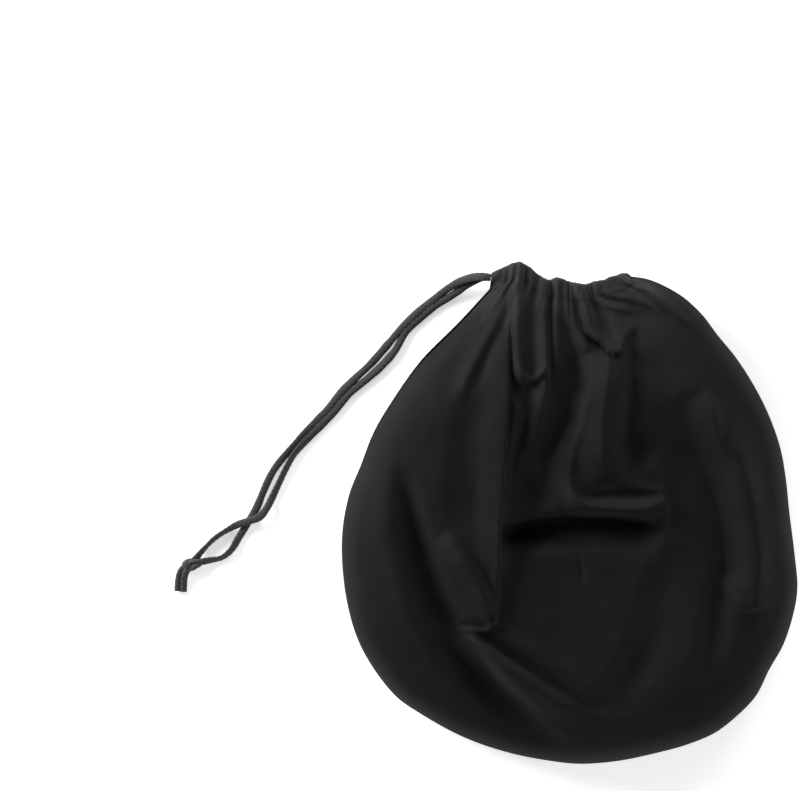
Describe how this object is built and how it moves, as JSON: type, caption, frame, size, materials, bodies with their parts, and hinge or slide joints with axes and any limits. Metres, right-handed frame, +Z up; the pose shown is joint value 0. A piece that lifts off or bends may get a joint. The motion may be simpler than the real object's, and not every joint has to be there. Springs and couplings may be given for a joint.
{
  "type": "drawstring helmet bag",
  "caption": "Soft black cloth drawstring bag for a motorcycle helmet, gathered at a cord casing, with a flat braided cord that ends in a knot.",
  "frame": {"origin": "on the surface the bag lies on, under the middle of the bag's own box, without the free cord", "axes": "+Y from the bottom of the bag to its mouth, +Z up from the back panel to the front panel, +X to the right as seen from above"},
  "size_m": [0.626, 0.502, 0.0781],
  "materials": {
    "bag_cloth": "matte close-woven black polyester with a faint sheen",
    "braided_cord": "flat soft braid, matte dark grey"
  },
  "bodies": {
    "root": {"front_panel": "bag_cloth", "back_panel": "bag_cloth", "hem_channel": "bag_cloth", "drawstring_loop": "braided_cord", "strand_left": "braided_cord", "strand_right": "braided_cord", "end_knot": "braided_cord", "tail_a": "braided_cord", "tail_b": "braided_cord"}
  },
  "joints": []
}
